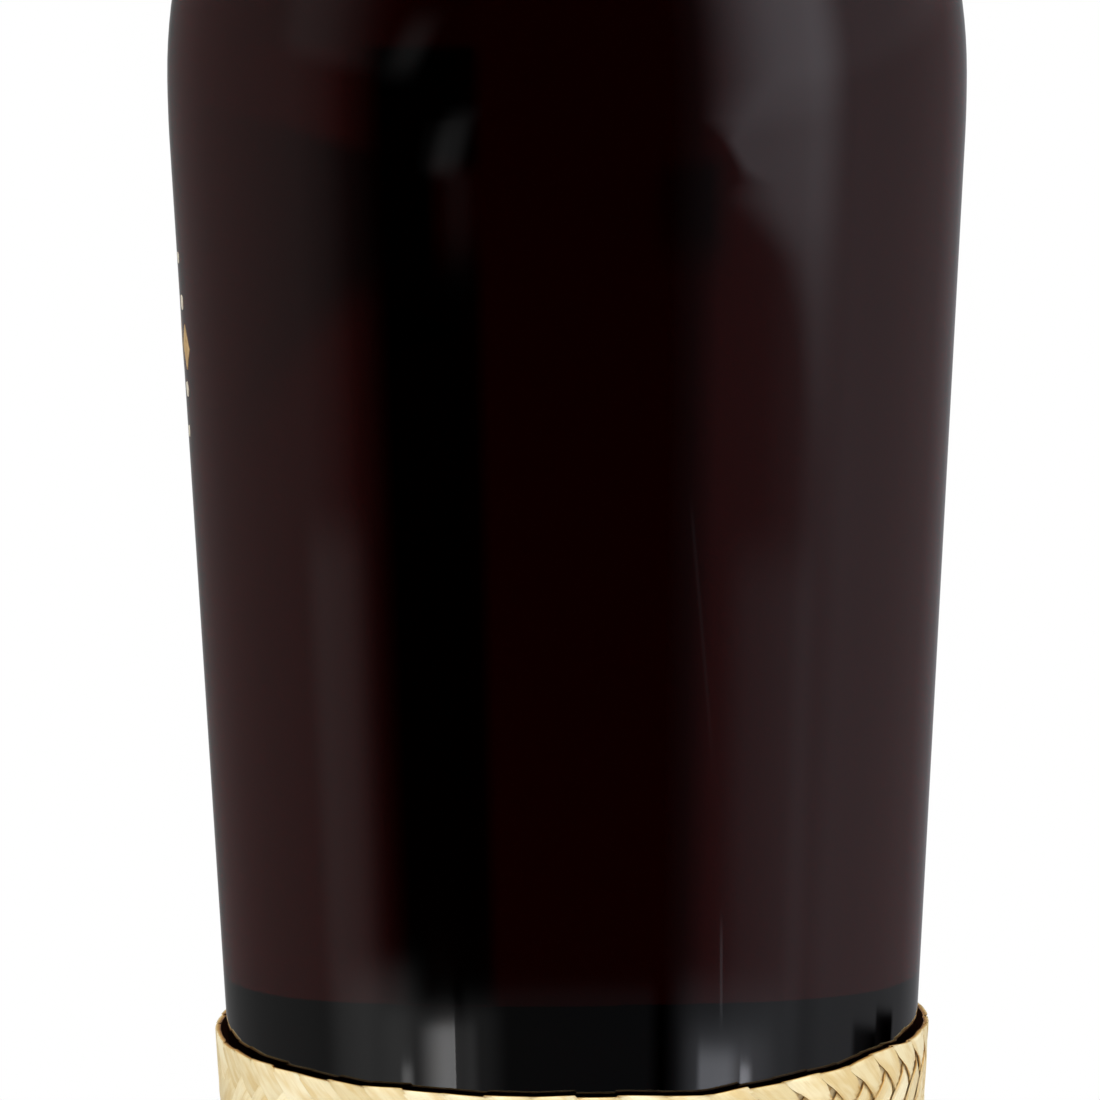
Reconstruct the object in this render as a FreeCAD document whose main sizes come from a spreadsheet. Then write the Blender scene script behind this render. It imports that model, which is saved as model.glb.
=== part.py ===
"""A rum bottle: a round dark glass body that widens from its foot to its shoulders, a plaited palm-leaf
band round its waist, and a T-shaped stopper made of a cork shank and a turned head.

Millimetres, +Z up. The origin is the centre of the foot, on the surface that the bottle stands on.
The front, where the printed ornament belongs, faces -Y.
"""

import FreeCAD, Part
import math
import os

import Sketcher

# Driving dimensions: lengths in millimetres, angles in degrees. Each is a cell of the sheet "Sizes".
SIZES = {
    # Glass body
    "body_radius": 42.0,  # at the widest level, just under the shoulder
    "widest_level": 196.0,  # height of that level above the foot
    "wall_taper": 3.04,  # lean of the straight wall, out of plumb
    "belly_radius": 140.0,  # long arc that turns the leaning wall upright at the widest level
    "upper_radius": 57.0,  # first, larger arc of the shoulder
    "upper_turn": 22.0,  # angle that the first arc turns through
    "shoulder_radius": 34.5,  # second, tighter arc of the shoulder
    "throat_radius": 17.0,  # hollow arc between shoulder and neck
    "heel_radius": 5.0,  # rounding between wall and foot
    "bearing_width": 5.0,  # flat ring that the bottle stands on
    "push_up": 4.0,  # rise of the hollow inside that ring
    # Neck and lip
    "neck_radius": 14.8,
    "neck_length": 9.0,  # straight part between throat and lip
    "lip_overhang": 1.8,  # how far the lip stands out from the neck
    "lip_height": 10.0,
    "lip_rounding": 1.6,
    # Plaited band
    "band_foot": 61.0,  # height of the band's lower edge
    "band_height": 33.5,
    "band_clearance": 0.3,  # between band and glass
    "band_thickness": 1.1,
    "strip_width": 3.25,  # of one leaf strip; the strips cross the band at 45 degrees
    "plait_relief": 0.35,  # depth of the corners between the strips
    "fold_depth": 0.45,  # dip between two folded strips, at both edges
    # Stopper
    "cork_radius": 9.6,
    "cork_show": 1.2,  # cork seen between lip and head
    "head_radius": 16.2,
    "head_height": 14.0,
    "head_rounding": 1.5,
    "head_groove": 0.6,  # depth and height of the line turned round the head
}

SHEET = "Sizes"
FULL_TURN = 360.0
SAME_PLACE = 0.001  # millimetres within which an edge is the wanted one

# How a sketch numbers the ends of a line or arc, its own axes and its origin.
START, END, CENTRE = 1, 2, 3
LEVEL_AXIS, UPRIGHT_AXIS = -1, -2
AXIS_POINT = (LEVEL_AXIS, START)


def cell(name):
    """A sheet cell as it is written in an expression."""
    return f"{SHEET}.{name}"


def make_sheet(doc):
    sheet = doc.addObject("Spreadsheet::Sheet", SHEET)
    for row, (name, value) in enumerate(SIZES.items(), start=1):
        sheet.set(f"A{row}", name)
        sheet.set(f"B{row}", str(value))
        sheet.setAlias(f"B{row}", name)
    doc.recompute()
    return sheet


def tan(degrees):
    return math.tan(math.radians(degrees))


def sin(degrees):
    return math.sin(math.radians(degrees))


def cos(degrees):
    return math.cos(math.radians(degrees))


def wall_radius(sheet, level):
    """Radius of the glass at a level on its straight, leaning wall."""
    wall_top = sheet.widest_level - sheet.belly_radius * sin(sheet.wall_taper)
    wall_top_radius = sheet.body_radius - sheet.belly_radius * (1 - cos(sheet.wall_taper))
    return wall_top_radius - (wall_top - level) * tan(sheet.wall_taper)


def throat_level(sheet):
    """Height at which the hollow throat arc runs into the straight neck."""
    turn_x, turn_z = cos(sheet.upper_turn), sin(sheet.upper_turn)
    shoulder_x = sheet.body_radius - sheet.upper_radius
    shoulder_x += (sheet.upper_radius - sheet.shoulder_radius) * turn_x
    shoulder_z = sheet.widest_level + (sheet.upper_radius - sheet.shoulder_radius) * turn_z
    across = sheet.neck_radius + sheet.throat_radius - shoulder_x
    reach = sheet.shoulder_radius + sheet.throat_radius
    return shoulder_z + math.sqrt(reach**2 - across**2)


def lip_level(sheet):
    """Height of the flat top of the lip."""
    return throat_level(sheet) + sheet.neck_length + sheet.lip_height


def point(x, z):
    return FreeCAD.Vector(x, z, 0)


def new_body(doc, name, label):
    body = doc.addObject("PartDesign::Body", name)
    body.Label = label
    return body


def new_sketch(body, name):
    """A sketch on the body's own upright XZ plane, whose vertical axis is the bottle's axis."""
    sketch = body.newObject("Sketcher::SketchObject", name)
    upright = next(plane for plane in body.Origin.OriginFeatures if plane.Role == "XZ_Plane")
    sketch.AttachmentSupport = (upright, [""])
    sketch.MapMode = "FlatFace"
    return sketch


def drive(sketch, kind, *where, by, name):
    """Adds a dimension of that kind to a sketch and binds it to an expression."""
    index = sketch.addConstraint(Sketcher.Constraint(kind, *where, drawn_size(sketch, kind, where)))
    sketch.renameConstraint(index, name)
    sketch.setExpression(f"Constraints.{name}", by)


def drawn_size(sketch, kind, where):
    """The size that a new dimension has in the sketch as it is drawn."""
    if kind == "Radius":
        return sketch.Geometry[where[0]].Radius
    if kind == "Angle":
        drawn = sketch.Geometry[where[0]]
        return drawn.LastParameter - drawn.FirstParameter
    span = sketch.getPoint(*where[2:]) - sketch.getPoint(*where[:2])
    return span.x if kind == "DistanceX" else span.y


def arc(centre, radius, start, end):
    """An arc drawn anticlockwise between two angles in degrees."""
    circle = Part.Circle(centre, FreeCAD.Vector(0, 0, 1), radius)
    return Part.ArcOfCircle(circle, math.radians(start), math.radians(end))


def draw_glass_profile(sketch, sheet):
    """Half of the bottle's outline: foot, leaning wall, shoulder, neck and lip, closed along the axis."""
    taper, turn = sheet.wall_taper, sheet.upper_turn
    body, level = sheet.body_radius, sheet.widest_level
    wall_top = level - sheet.belly_radius * sin(taper)
    heel = sheet.heel_radius
    # The heel's arc touches the foot at right angles to the axis and the leaning wall at its lean.
    heel_x = wall_radius(sheet, heel) - heel / cos(taper)
    heel_out = point(heel_x + heel * cos(taper), heel - heel * sin(taper))
    wall_out = point(wall_radius(sheet, wall_top), wall_top)
    bearing_in = heel_x - sheet.bearing_width
    dish = (bearing_in**2 + sheet.push_up**2) / (2 * sheet.push_up)
    dish_turn = math.degrees(math.asin(bearing_in / dish))
    upper_x = body - sheet.upper_radius
    shoulder_x = upper_x + (sheet.upper_radius - sheet.shoulder_radius) * cos(turn)
    shoulder_z = level + (sheet.upper_radius - sheet.shoulder_radius) * sin(turn)
    throat_x = sheet.neck_radius + sheet.throat_radius
    throat_z = throat_level(sheet)
    meet = math.degrees(math.atan2(throat_z - shoulder_z, throat_x - shoulder_x))
    neck_top = throat_z + sheet.neck_length
    lip_out = sheet.neck_radius + sheet.lip_overhang
    lip_top = lip_level(sheet)

    def add(*shapes):
        return [sketch.addGeometry(shape, False) for shape in shapes]

    push_up, bearing, heel_arc, wall, belly, upper, shoulder, throat = add(
        arc(point(0, sheet.push_up - dish), dish, 90 - dish_turn, 90),
        Part.LineSegment(point(bearing_in, 0), point(heel_x, 0)),
        arc(point(heel_x, heel), heel, -90, -taper),
        Part.LineSegment(heel_out, wall_out),
        arc(point(body - sheet.belly_radius, level), sheet.belly_radius, -taper, 0),
        arc(point(upper_x, level), sheet.upper_radius, 0, turn),
        arc(point(shoulder_x, shoulder_z), sheet.shoulder_radius, turn, meet),
        arc(point(throat_x, throat_z), sheet.throat_radius, 180, 180 + meet),
    )
    corners = [
        point(sheet.neck_radius, throat_z),
        point(sheet.neck_radius, neck_top),
        point(lip_out, neck_top),
        point(lip_out, lip_top),
        point(0, lip_top),
        point(0, sheet.push_up),
    ]
    neck, ledge, rim, top, axis = add(*map(Part.LineSegment, corners, corners[1:]))

    def fix(kind, *where):
        sketch.addConstraint(Sketcher.Constraint(kind, *where))

    fix("Coincident", push_up, START, bearing, START)
    fix("Tangent", bearing, END, heel_arc, START)
    fix("Tangent", heel_arc, END, wall, START)
    fix("Tangent", wall, END, belly, START)
    fix("Tangent", belly, END, upper, START)
    fix("Tangent", upper, END, shoulder, START)
    fix("Tangent", shoulder, END, throat, END)
    fix("Tangent", throat, START, neck, START)
    for first, second in ((neck, ledge), (ledge, rim), (rim, top), (top, axis)):
        fix("Coincident", first, END, second, START)
    fix("Coincident", axis, END, push_up, END)
    for line in (neck, rim):
        fix("Vertical", line)
    for line in (ledge, top):
        fix("Horizontal", line)
    for where in ((axis, START), (axis, END), (push_up, CENTRE)):
        fix("PointOnObject", *where, UPRIGHT_AXIS)
    for end in (START, END):
        fix("PointOnObject", bearing, end, LEVEL_AXIS)
    fix("Horizontal", belly, CENTRE, belly, END)

    drive(sketch, "DistanceY", *AXIS_POINT, axis, END, by=cell("push_up"), name="push_up")
    drive(sketch, "DistanceX", bearing, START, bearing, END, by=cell("bearing_width"), name="bearing_width")
    drive(sketch, "Radius", heel_arc, by=cell("heel_radius"), name="heel_radius")
    drive(sketch, "Angle", belly, by=cell("wall_taper"), name="wall_taper")
    drive(sketch, "Radius", belly, by=cell("belly_radius"), name="belly_radius")
    drive(sketch, "DistanceX", *AXIS_POINT, belly, END, by=cell("body_radius"), name="body_radius")
    drive(sketch, "DistanceY", *AXIS_POINT, belly, END, by=cell("widest_level"), name="widest_level")
    drive(sketch, "Radius", upper, by=cell("upper_radius"), name="upper_radius")
    drive(sketch, "Angle", upper, by=cell("upper_turn"), name="upper_turn")
    drive(sketch, "Radius", shoulder, by=cell("shoulder_radius"), name="shoulder_radius")
    drive(sketch, "Radius", throat, by=cell("throat_radius"), name="throat_radius")
    drive(sketch, "DistanceX", *AXIS_POINT, neck, START, by=cell("neck_radius"), name="neck_radius")
    drive(sketch, "DistanceY", neck, START, neck, END, by=cell("neck_length"), name="neck_length")
    drive(sketch, "DistanceX", ledge, START, ledge, END, by=cell("lip_overhang"), name="lip_overhang")
    drive(sketch, "DistanceY", rim, START, rim, END, by=cell("lip_height"), name="lip_height")


def revolve(body, sketch, name):
    turned = body.newObject("PartDesign::Revolution", name)
    turned.Profile = sketch
    turned.ReferenceAxis = (sketch, ["V_Axis"])
    turned.Angle = FULL_TURN
    sketch.Visibility = False
    return turned


def circles_at(feature, wanted):
    """Names of the circular edges of a feature that have one of the wanted (radius, level) pairs."""
    found = []
    for number, edge in enumerate(feature.Shape.Edges, start=1):
        if edge.Degenerated or not isinstance(edge.Curve, Part.Circle):
            continue
        size = (edge.Curve.Radius, edge.Curve.Center.z)
        if any(math.dist(size, pair) < SAME_PLACE for pair in wanted):
            found.append(f"Edge{number}")
    if len(found) < len(wanted):
        raise RuntimeError(f"{feature.Name}: found {len(found)} of {len(wanted)} edges to round")
    return found


def round_edges(doc, body, base, name, wanted, size):
    """Rounds the circular edges at the wanted (radius, level) pairs by a sheet size."""
    doc.recompute()
    rounded = body.newObject("PartDesign::Fillet", name)
    rounded.Base = (base, circles_at(base, wanted))
    rounded.setExpression("Radius", cell(size))
    return rounded


def make_glass(doc, sheet):
    """The bottle itself with what it holds, one closed solid."""
    body = new_body(doc, "GlassBottle", "bottle_glass")
    profile = new_sketch(body, "GlassProfile")
    draw_glass_profile(profile, sheet)
    turned = revolve(body, profile, "GlassTurned")
    lip_radius = sheet.neck_radius + sheet.lip_overhang
    lip_top = lip_level(sheet)
    corners = [(lip_radius, lip_top - sheet.lip_height), (lip_radius, lip_top)]
    round_edges(doc, body, turned, "LipRounding", corners, "lip_rounding")
    return body


def plait_grid(sheet):
    """How many half strips the plait has round the bottle and up its height.

    The strips cross the band at 45 degrees, so one is half its own diagonal wide along both ways.
    """
    half_strip = sheet.strip_width / math.sqrt(2)
    middle = wall_radius(sheet, sheet.band_foot + sheet.band_height / 2)
    folds = round(math.pi * middle / half_strip)
    return 2 * folds, round(sheet.band_height / half_strip)


def plait_point(sheet, column, row, outside):
    """A corner of the band's faceted surface, on its outside or inside.

    Points whose column and row add up to an even number are the middles of the strips that pass on top,
    and stand proud. The others are the corners where four strips meet, and lie lower. Along both edges,
    those corners are the dips between two folded strips.
    """
    columns, rows = plait_grid(sheet)
    on_top = (column + row) % 2 == 0
    level = sheet.band_foot + sheet.band_height * row / rows
    radius = wall_radius(sheet, level) + sheet.band_clearance
    if outside:
        radius += sheet.band_thickness - (0 if on_top else sheet.plait_relief)
    if not on_top and row == rows:
        level -= sheet.fold_depth
    if not on_top and row == 0:
        level += sheet.fold_depth
    angle = 2 * math.pi * column / columns
    return FreeCAD.Vector(radius * math.cos(angle), radius * math.sin(angle), level)


def facet(*corners):
    return Part.Face(Part.makePolygon([*corners, corners[0]]))


def make_band(doc, sheet):
    """The plaited palm-leaf band, one leaning ring whose outside is a lattice of low pyramids."""
    columns, rows = plait_grid(sheet)
    facets = []
    for column in range(columns):
        for row in range(rows):
            low_left, low_right, high_right, high_left = (
                plait_point(sheet, column + i, row + j, outside=True)
                for i, j in ((0, 0), (1, 0), (1, 1), (0, 1))
            )
            if (column + row) % 2 == 0:
                facets.append(facet(low_left, low_right, high_left))
                facets.append(facet(low_right, high_right, high_left))
            else:
                facets.append(facet(low_left, low_right, high_right))
                facets.append(facet(low_left, high_right, high_left))
        inner_foot, inner_foot_next, inner_top_next, inner_top = (
            plait_point(sheet, column + i, row, outside=False)
            for i, row in ((0, 0), (1, 0), (1, rows), (0, rows))
        )
        facets.append(facet(inner_foot, inner_top, inner_foot_next))
        facets.append(facet(inner_foot_next, inner_top, inner_top_next))
        for row, inner, inner_next in ((0, inner_foot, inner_foot_next), (rows, inner_top, inner_top_next)):
            outer = plait_point(sheet, column, row, outside=True)
            outer_next = plait_point(sheet, column + 1, row, outside=True)
            facets.append(facet(inner, inner_next, outer))
            facets.append(facet(inner_next, outer_next, outer))
    band = doc.addObject("Part::Feature", "PlaitedBand")
    band.Label = "palm_band"
    band.Shape = Part.makeSolid(Part.makeShell(facets))
    band.Placement = FreeCAD.Placement()
    return band


def lip_level_expression():
    """lip_level as an expression on the sheet's cells."""
    turn = cell("upper_turn")
    step = f"({cell('upper_radius')} - {cell('shoulder_radius')})"
    shoulder_x = f"({cell('body_radius')} - {cell('upper_radius')} + {step} * cos({turn}))"
    shoulder_z = f"({cell('widest_level')} + {step} * sin({turn}))"
    across = f"({cell('neck_radius')} + {cell('throat_radius')} - {shoulder_x})"
    reach = f"({cell('shoulder_radius')} + {cell('throat_radius')})"
    neck_start = f"({shoulder_z} + sqrt({reach} ^ 2 - {across} ^ 2))"
    return f"{neck_start} + {cell('neck_length')} + {cell('lip_height')}"


def make_cork(doc):
    """The short stretch of cork seen between the lip and the head. It stands on the lip's flat top."""
    cork = doc.addObject("Part::Cylinder", "Cork")
    cork.Label = "stopper_cork"
    cork.setExpression("Radius", cell("cork_radius"))
    cork.setExpression("Height", cell("cork_show"))
    cork.setExpression("Placement.Base.z", lip_level_expression())
    return cork


def make_head(doc, sheet):
    """The stopper's turned head, which stands on the cork, with rounded rims and one turned line."""
    body = new_body(doc, "StopperHead", "stopper_head")
    outline = new_sketch(body, "HeadOutline")
    low = lip_level(sheet) + sheet.cork_show
    high = low + sheet.head_height
    radius, groove = sheet.head_radius, sheet.head_groove
    middle = (low + high) / 2
    ring = [
        point(0, low),
        point(radius, low),
        point(radius, middle - groove / 2),
        point(radius - groove, middle - groove / 2),
        point(radius - groove, middle + groove / 2),
        point(radius, middle + groove / 2),
        point(radius, high),
        point(0, high),
    ]
    lines = [
        outline.addGeometry(Part.LineSegment(a, b), False) for a, b in zip(ring, ring[1:] + ring[:1])
    ]
    for this, following in zip(lines, lines[1:] + lines[:1]):
        outline.addConstraint(Sketcher.Constraint("Coincident", this, END, following, START))
    foot, low_side, groove_foot, groove_wall, groove_top, high_side, top, axis = lines
    for line in (foot, groove_foot, groove_top, top):
        outline.addConstraint(Sketcher.Constraint("Horizontal", line))
    for line in (low_side, groove_wall, high_side, axis):
        outline.addConstraint(Sketcher.Constraint("Vertical", line))
    outline.addConstraint(Sketcher.Constraint("PointOnObject", foot, START, UPRIGHT_AXIS))
    outline.addConstraint(Sketcher.Constraint("Equal", low_side, high_side))
    outline.addConstraint(Sketcher.Constraint("Equal", groove_foot, groove_top))
    foot_cell = f"{lip_level_expression()} + {cell('cork_show')}"
    drive(outline, "DistanceY", *AXIS_POINT, foot, START, by=foot_cell, name="foot_level")
    drive(outline, "DistanceY", foot, START, top, END, by=cell("head_height"), name="head_height")
    drive(outline, "DistanceX", foot, START, foot, END, by=cell("head_radius"), name="head_radius")
    groove_cell = cell("head_groove")
    drive(outline, "DistanceX", groove_foot, END, groove_foot, START, by=groove_cell, name="groove_depth")
    drive(outline, "DistanceY", groove_wall, START, groove_wall, END, by=groove_cell, name="groove_height")
    turned = revolve(body, outline, "HeadTurned")
    rims = [(radius, low), (radius, high)]
    round_edges(doc, body, turned, "HeadRounding", rims, "head_rounding")
    return body


def check(doc, parts):
    """Stops if any object failed to compute or any piece is not one valid, closed solid."""
    for item in doc.Objects:
        if {"Invalid", "Error"} & set(item.State):
            raise RuntimeError(f"{item.Label} did not compute: {item.State}")
    for part in parts:
        shape = part.Shape
        if shape.isNull() or not shape.isValid() or len(shape.Solids) != 1:
            raise RuntimeError(f"{part.Label} is not one valid solid")


def write_steps(parts):
    os.makedirs("parts", exist_ok=True)
    for part in parts:
        part.Shape.exportStep(f"parts/{part.Label}.step")
        box = part.Shape.BoundBox
        print(
            f"{part.Label}: {box.XLength:.2f} x {box.YLength:.2f} x {box.ZLength:.2f} mm,"
            f" from z {box.ZMin:.2f} to {box.ZMax:.2f}, {part.Shape.Volume / 1000:.2f} cm3"
        )


def main():
    doc = FreeCAD.newDocument("RumBottle")
    sheet = make_sheet(doc)
    parts = [make_glass(doc, sheet), make_band(doc, sheet), make_cork(doc), make_head(doc, sheet)]
    doc.recompute()
    check(doc, parts)
    write_steps(parts)


main()
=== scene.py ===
import math
import random

import bpy
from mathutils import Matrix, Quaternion, Vector, noise


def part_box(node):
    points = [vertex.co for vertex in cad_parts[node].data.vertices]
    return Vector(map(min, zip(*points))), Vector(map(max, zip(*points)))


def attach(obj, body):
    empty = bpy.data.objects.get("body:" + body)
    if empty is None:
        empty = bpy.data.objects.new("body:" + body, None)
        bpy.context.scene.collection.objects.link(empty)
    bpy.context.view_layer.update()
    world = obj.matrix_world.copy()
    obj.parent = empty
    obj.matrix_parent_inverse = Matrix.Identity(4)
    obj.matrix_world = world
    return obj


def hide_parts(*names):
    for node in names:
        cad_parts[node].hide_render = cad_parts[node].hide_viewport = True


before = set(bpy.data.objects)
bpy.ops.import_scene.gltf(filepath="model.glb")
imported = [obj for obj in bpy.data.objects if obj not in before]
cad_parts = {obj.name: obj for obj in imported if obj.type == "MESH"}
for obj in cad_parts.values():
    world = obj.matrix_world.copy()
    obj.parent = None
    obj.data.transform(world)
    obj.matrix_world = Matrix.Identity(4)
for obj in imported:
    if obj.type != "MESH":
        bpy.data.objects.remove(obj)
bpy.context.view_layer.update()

MM = 0.001

# The glass outline, in millimetres and degrees, as the construction has it.
BODY_RADIUS = 42.0
WIDEST_LEVEL = 196.0
WALL_TAPER = 3.04
BELLY_RADIUS = 140.0
UPPER_RADIUS, UPPER_TURN = 57.0, 22.0
SHOULDER_RADIUS = 34.5
THROAT_RADIUS = 17.0
HEEL_RADIUS = 5.0
BEARING_WIDTH = 5.0
PUSH_UP = 4.0
NECK_RADIUS, NECK_LENGTH = 14.8, 9.0
LIP_OVERHANG, LIP_HEIGHT, LIP_ROUNDING = 1.8, 10.0, 1.6

# The photograph's view of the bottle.
VIEW_AZIMUTH = 125.0  # of the camera, in degrees from the bottle's front toward +X
VIEW_DISTANCE = 1047.0
VIEW_HEIGHT = 315.0
AIM_LEVEL = 145.1
AIM_LEFT = 2.06
VIEW_ROLL = 0.31
LENS_ANGLE = 6.287


def sin(degrees):
    return math.sin(math.radians(degrees))


def cos(degrees):
    return math.cos(math.radians(degrees))


def tan(degrees):
    return math.tan(math.radians(degrees))


def smooth(x):
    """0 below 0, 1 above 1, and an even S between."""
    x = min(max(x, 0.0), 1.0)
    return x * x * (3 - 2 * x)


# ---------------------------------------------------------------- shapes

def arc(centre, radius, start, end, steps):
    """Points (radius, level) on an arc, its ends included, between two angles in degrees."""
    turns = (start + (end - start) * i / steps for i in range(steps + 1))
    return [(centre[0] + radius * cos(a), centre[1] + radius * sin(a)) for a in turns]


def wall_radius(level):
    """Radius of the glass on its straight, leaning wall."""
    wall_top = WIDEST_LEVEL - BELLY_RADIUS * sin(WALL_TAPER)
    top_radius = BODY_RADIUS - BELLY_RADIUS * (1 - cos(WALL_TAPER))
    return top_radius - (wall_top - level) * tan(WALL_TAPER)


def outer_radius(level):
    """Radius of the glass on the wall and its rounding up to the widest level."""
    wall_top = WIDEST_LEVEL - BELLY_RADIUS * sin(WALL_TAPER)
    if level < wall_top:
        return wall_radius(level)
    return BODY_RADIUS - BELLY_RADIUS + math.sqrt(BELLY_RADIUS**2 - (WIDEST_LEVEL - level) ** 2)


def glass_outline():
    """Half of the bottle's outline as (radius, level), from the middle of its foot to that of its lip."""
    heel_x = wall_radius(HEEL_RADIUS) - HEEL_RADIUS / cos(WALL_TAPER)
    dish_edge = heel_x - BEARING_WIDTH
    dish = (dish_edge**2 + PUSH_UP**2) / (2 * PUSH_UP)
    dish_turn = math.degrees(math.asin(dish_edge / dish))
    upper_x = BODY_RADIUS - UPPER_RADIUS
    step = UPPER_RADIUS - SHOULDER_RADIUS
    shoulder = (upper_x + step * cos(UPPER_TURN), WIDEST_LEVEL + step * sin(UPPER_TURN))
    throat_x = NECK_RADIUS + THROAT_RADIUS
    reach = SHOULDER_RADIUS + THROAT_RADIUS
    throat_z = shoulder[1] + math.sqrt(reach**2 - (throat_x - shoulder[0]) ** 2)
    meet = math.degrees(math.atan2(throat_z - shoulder[1], throat_x - shoulder[0]))
    neck_top = throat_z + NECK_LENGTH
    lip_x = NECK_RADIUS + LIP_OVERHANG
    lip_top = neck_top + LIP_HEIGHT
    rounding = LIP_ROUNDING
    outline = arc((0, PUSH_UP - dish), dish, 90, 90 - dish_turn, 10)
    outline += arc((heel_x, HEEL_RADIUS), HEEL_RADIUS, -90, -WALL_TAPER, 12)
    outline += arc((BODY_RADIUS - BELLY_RADIUS, WIDEST_LEVEL), BELLY_RADIUS, -WALL_TAPER, 0, 14)
    outline += arc((upper_x, WIDEST_LEVEL), UPPER_RADIUS, 0, UPPER_TURN, 12)[1:]
    outline += arc(shoulder, SHOULDER_RADIUS, UPPER_TURN, meet, 24)[1:]
    outline += arc((throat_x, throat_z), THROAT_RADIUS, 180 + meet, 180, 16)[1:]
    outline += arc((lip_x - rounding, neck_top + rounding), rounding, -90, 0, 8)
    outline.insert(-9, (NECK_RADIUS, neck_top))
    outline += arc((lip_x - rounding, lip_top - rounding), rounding, 0, 90, 8)
    outline.append((0.0, lip_top))
    return outline


def divide(outline, longest):
    """The outline with its straight stretches cut into steps no longer than that."""
    points = [outline[0]]
    for a, b in zip(outline, outline[1:]):
        steps = max(1, math.ceil(math.dist(a, b) / longest))
        for i in range(1, steps + 1):
            points.append((a[0] + (b[0] - a[0]) * i / steps, a[1] + (b[1] - a[1]) * i / steps))
    return points


def add_piece(name, vertices, faces, material, slot, smooth_below=40, **values):
    """A mesh piece from millimetre vertices, riding on the bottle. Values holds numbers per vertex by name."""
    mesh = bpy.data.meshes.new(name)
    mesh.from_pydata([tuple(c * MM for c in v) for v in vertices], [], faces)
    mesh.validate()
    for polygon in mesh.polygons:
        polygon.use_smooth = True
    mesh.set_sharp_from_angle(angle=math.radians(smooth_below))
    mesh.materials.append(material)
    for key, numbers in values.items():
        mesh.attributes.new(key, "FLOAT", "POINT").data.foreach_set("value", numbers)
    piece = bpy.data.objects.new(name, mesh)
    bpy.context.scene.collection.objects.link(piece)
    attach(piece, "root")
    return piece


def lathe(outline, segments):
    """Vertices and faces of an outline turned about Z. Its first and last points lie on the axis."""
    inner = outline[1:-1]
    vertices = [(0, 0, outline[0][1]), (0, 0, outline[-1][1])]
    for radius, level in inner:
        for s in range(segments):
            turn = 2 * math.pi * s / segments
            vertices.append((radius * math.cos(turn), radius * math.sin(turn), level))
    faces = []
    for s in range(segments):
        following = (s + 1) % segments
        faces.append((0, 2 + following, 2 + s))
        last = 2 + (len(inner) - 1) * segments
        faces.append((1, last + s, last + following))
        for row in range(len(inner) - 1):
            low, high = 2 + row * segments, 2 + (row + 1) * segments
            faces.append((low + s, low + following, high + following, high + s))
    return vertices, faces


# ---------------------------------------------------------------- shader helpers

class Nodes:
    """A node tree with short calls to add and link nodes."""

    def __init__(self, tree):
        self.tree = tree
        tree.nodes.clear()

    def add(self, kind, settings=None, **inputs):
        node = self.tree.nodes.new(kind)
        for key, value in (settings or {}).items():
            setattr(node, key, value)
        for key, value in inputs.items():
            key = int(key[1:]) if key[0] == "i" and key[1:].isdigit() else key.replace("_", " ")
            self.set(node.inputs[key], value)
        return node

    def set(self, socket, value):
        if isinstance(value, bpy.types.NodeSocket):
            self.tree.links.new(value, socket)
        else:
            socket.default_value = value

    def math(self, operation, a, b=0.0, c=0.0):
        return self.add("ShaderNodeMath", {"operation": operation}, i0=a, i1=b, i2=c).outputs[0]

    def span(self, value, low, high, to_low=0.0, to_high=1.0):
        """An even S from to_low at low to to_high at high."""
        node = self.add("ShaderNodeMapRange", {"interpolation_type": "SMOOTHSTEP"}, i0=value, i1=low, i2=high,
                        i3=to_low, i4=to_high)
        return node.outputs[0]

    def window(self, value, low, low_full, high_full, high):
        """1 between the full places and 0 beyond low and high."""
        rise = self.span(value, low, low_full)
        return self.math("MULTIPLY", rise, self.span(value, high_full, high, 1.0, 0.0))

    def ramp(self, value, stops):
        """A colour ramp with (position, colour) stops; a plain number stands for that grey."""
        node = self.add("ShaderNodeValToRGB", i0=value)
        elements = node.color_ramp.elements
        while len(elements) < len(stops):
            elements.new(0.5)
        for element, (position, colour) in zip(elements, stops):
            element.position = position
            grey = isinstance(colour, (int, float))
            element.color = (colour, colour, colour, 1) if grey else (*colour, 1)
        return node.outputs[0]

    def mix(self, factor, a, b, blend="MIX"):
        node = self.add("ShaderNodeMix", {"data_type": "RGBA", "blend_type": blend}, i0=factor)
        self.set(node.inputs[6], a)
        self.set(node.inputs[7], b)
        return node.outputs[2]

    def value(self, name):
        """The piece's own number of that name."""
        return self.add("ShaderNodeAttribute", {"attribute_name": name}).outputs["Fac"]

    def vector(self, x, y, z=0.0):
        return self.add("ShaderNodeCombineXYZ", i0=x, i1=y, i2=z).outputs[0]

    def noise(self, vector, scale, detail=3.0, roughness=0.55):
        return self.add("ShaderNodeTexNoise", Vector=vector, Scale=scale, Detail=detail,
                        Roughness=roughness).outputs[0]

    def bump(self, height, strength, distance_mm):
        distance = distance_mm * MM
        return self.add("ShaderNodeBump", Strength=strength, Distance=distance, Height=height).outputs[0]


def new_material(name):
    material = bpy.data.materials.new(name)
    material.use_nodes = True
    nodes = Nodes(material.node_tree)
    output = nodes.add("ShaderNodeOutputMaterial")
    shader = nodes.add("ShaderNodeBsdfPrincipled")
    nodes.set(output.inputs["Surface"], shader.outputs[0])
    return material, nodes, shader, output


def glass_material():
    material, nodes, shader, output = new_material("dark_glass")
    shader.inputs["Base Color"].default_value = (0.05, 0.003, 0.002, 1)
    shader.inputs["Roughness"].default_value = 0.02
    shader.inputs["IOR"].default_value = 1.45
    shader.inputs["Transmission Weight"].default_value = 1.0
    volume = nodes.add("ShaderNodeVolumeAbsorption", Color=(0.5, 0.1, 0.05, 1), Density=40.0)
    nodes.set(output.inputs["Volume"], volume.outputs[0])
    return material


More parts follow.
